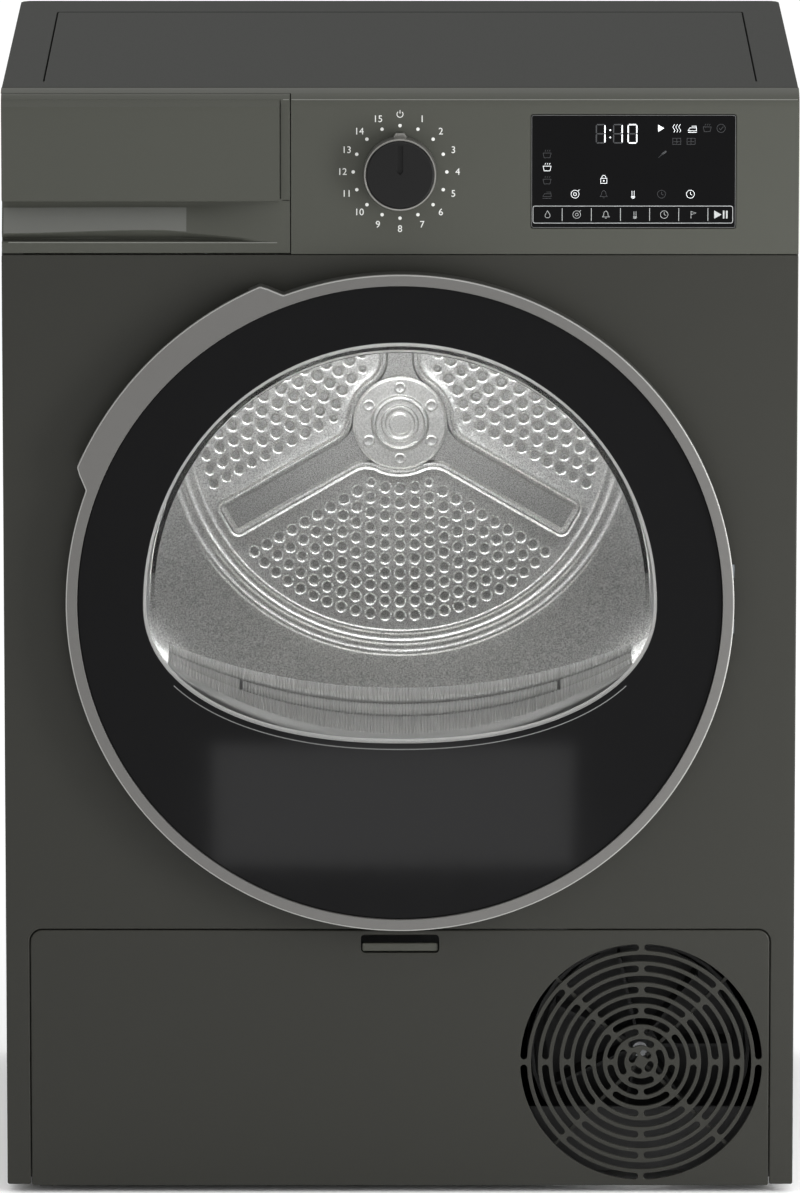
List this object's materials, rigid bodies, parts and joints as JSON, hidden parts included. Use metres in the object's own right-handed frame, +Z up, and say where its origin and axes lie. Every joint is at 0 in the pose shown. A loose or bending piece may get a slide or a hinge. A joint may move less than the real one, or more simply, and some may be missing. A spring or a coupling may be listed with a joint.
{
  "type": "clothes dryer",
  "caption": "Free-standing front-loading condenser clothes dryer with a round glass door, water drawer, programme knob and service flap.",
  "frame": {"origin": "on the floor under the middle of the whole object, door included", "axes": "+Z up, the door faces -Y, +X to the viewer's right, +Y towards the back"},
  "size_m": [0.597, 0.5, 0.846],
  "materials": {
    "cabinet_paint": "satin graphite coil-coated steel",
    "top_plastic": "fine-grained graphite moulding",
    "fascia_plastic": "satin graphite moulding",
    "door_trim": "satin metallic grey moulding",
    "black_gloss": "black printed glass",
    "black_plastic": "moulded black plastic",
    "knob_cap": "fine satin black",
    "knob_metal": "satin turned ring",
    "window_glass": "clear moulded glass",
    "drum_steel": "stainless steel sheet",
    "galvanised": "galvanised steel sheet",
    "motor_casing": "cast end shields",
    "grey_plastic": "moulded grey plastic",
    "tank_plastic": "translucent natural plastic",
    "rubber": "black rubber",
    "felt": "wool felt",
    "exchanger": "aluminium fins and casing"
  },
  "bodies": {
    "cabinet": {"side_panel_left": "cabinet_paint", "side_panel_right": "cabinet_paint", "rear_panel": "galvanised", "rear_duct_cover": "galvanised", "power_inlet": "black_plastic", "top_frame": "top_plastic", "top_panel": "top_plastic", "base_tray": "black_plastic", "foot_front_left": "rubber", "foot_front_right": "rubber", "foot_rear_left": "rubber", "foot_rear_right": "rubber", "front_panel": "cabinet_paint", "control_fascia": "fascia_plastic", "display_glass": "black_gloss", "knob_encoder": "black_plastic", "tank_tray": "grey_plastic", "front_bulkhead": "galvanised", "drum_front_seal": "felt", "filter_housing": "grey_plastic", "air_duct_front": "grey_plastic", "rear_bearing_bracket": "galvanised", "roller_bracket_left": "galvanised", "roller_bracket_right": "galvanised", "motor_body": "motor_casing", "cooling_fan_housing": "grey_plastic", "process_fan_housing": "grey_plastic", "drum_belt": "rubber", "idler_arm": "galvanised", "condenser_cassette": "exchanger", "condensate_pump": "black_plastic", "heater_duct": "galvanised", "door_lock": "black_plastic", "door_hinge_bracket": "galvanised"},
    "door": {"door_ring": "door_trim", "door_glass": "black_gloss", "door_inner_frame": "black_plastic", "door_window": "window_glass", "door_seal": "rubber", "door_latch_hook": "galvanised"},
    "drum": {"drum_shell": "drum_steel", "drum_back": "drum_steel", "drum_hub_cover": "drum_steel", "drum_shaft": "galvanised", "drum_lifter_1": "grey_plastic", "drum_lifter_2": "grey_plastic", "drum_lifter_3": "grey_plastic"},
    "motor_rotor": {"motor_shaft": "galvanised", "cooling_fan": "grey_plastic", "process_fan": "grey_plastic"},
    "idler": {"idler_pulley": "black_plastic"},
    "roller_left": {"drum_roller_left": "black_plastic"},
    "roller_right": {"drum_roller_right": "black_plastic"},
    "knob": {"knob_body": "knob_metal", "knob_cap": "knob_cap"},
    "water_drawer": {"drawer_front": "fascia_plastic", "water_tank": "tank_plastic"},
    "lint_screen": {"lint_filter": "grey_plastic"},
    "flap": {"service_flap": "cabinet_paint"},
    "flap_latch": {"flap_button": "fascia_plastic"}
  },
  "joints": [
    {"name": "door_hinge", "type": "hinge", "parent": "cabinet", "child": "door", "pos_m": [0.247, -0.2406, 0.459], "axis": [0, 0, 1], "range_deg": [0, 130]},
    {"name": "drum_spin", "type": "hinge", "parent": "cabinet", "child": "drum", "pos_m": [0, 0, 0.519], "axis": [0, 1, 0], "continuous": true},
    {"name": "motor_spin", "type": "hinge", "parent": "cabinet", "child": "motor_rotor", "pos_m": [0.183, 0, 0.101], "axis": [0, 1, 0], "continuous": true},
    {"name": "idler_spin", "type": "hinge", "parent": "cabinet", "child": "idler", "pos_m": [0.11, 0.061, 0.112], "axis": [0, 1, 0], "continuous": true},
    {"name": "roller_left_spin", "type": "hinge", "parent": "cabinet", "child": "roller_left", "pos_m": [-0.11441, -0.11, 0.23584], "axis": [0, 1, 0], "continuous": true},
    {"name": "roller_right_spin", "type": "hinge", "parent": "cabinet", "child": "roller_right", "pos_m": [0.11441, -0.11, 0.23584], "axis": [0, 1, 0], "continuous": true},
    {"name": "knob_turn", "type": "hinge", "parent": "cabinet", "child": "knob", "pos_m": [0, -0.236, 0.785], "axis": [0, 1, 0], "continuous": true},
    {"name": "water_drawer_slide", "type": "slide", "parent": "cabinet", "child": "water_drawer", "axis": [0, -1, 0], "range_m": [0, 0.4]},
    {"name": "lint_filter_slide", "type": "slide", "parent": "cabinet", "child": "lint_screen", "axis": [0, 0, 1], "range_m": [0, 0.2]},
    {"name": "flap_hinge", "type": "hinge", "parent": "cabinet", "child": "flap", "pos_m": [0, -0.224, 0.014], "axis": [1, 0, 0], "range_deg": [0, 90]},
    {"name": "flap_button_press", "type": "slide", "parent": "flap", "child": "flap_latch", "axis": [0, 1, 0], "range_m": [0, 0.003], "stiffness_N_per_m": 300, "springref_m": -0.002}
  ],
  "couplings": [
    {"joint": "motor_spin", "follows": "drum_spin", "ratio": 27.5},
    {"joint": "idler_spin", "follows": "drum_spin", "ratio": 12.5},
    {"joint": "roller_left_spin", "follows": "drum_spin", "ratio": -9.1667},
    {"joint": "roller_right_spin", "follows": "drum_spin", "ratio": -9.1667}
  ]
}
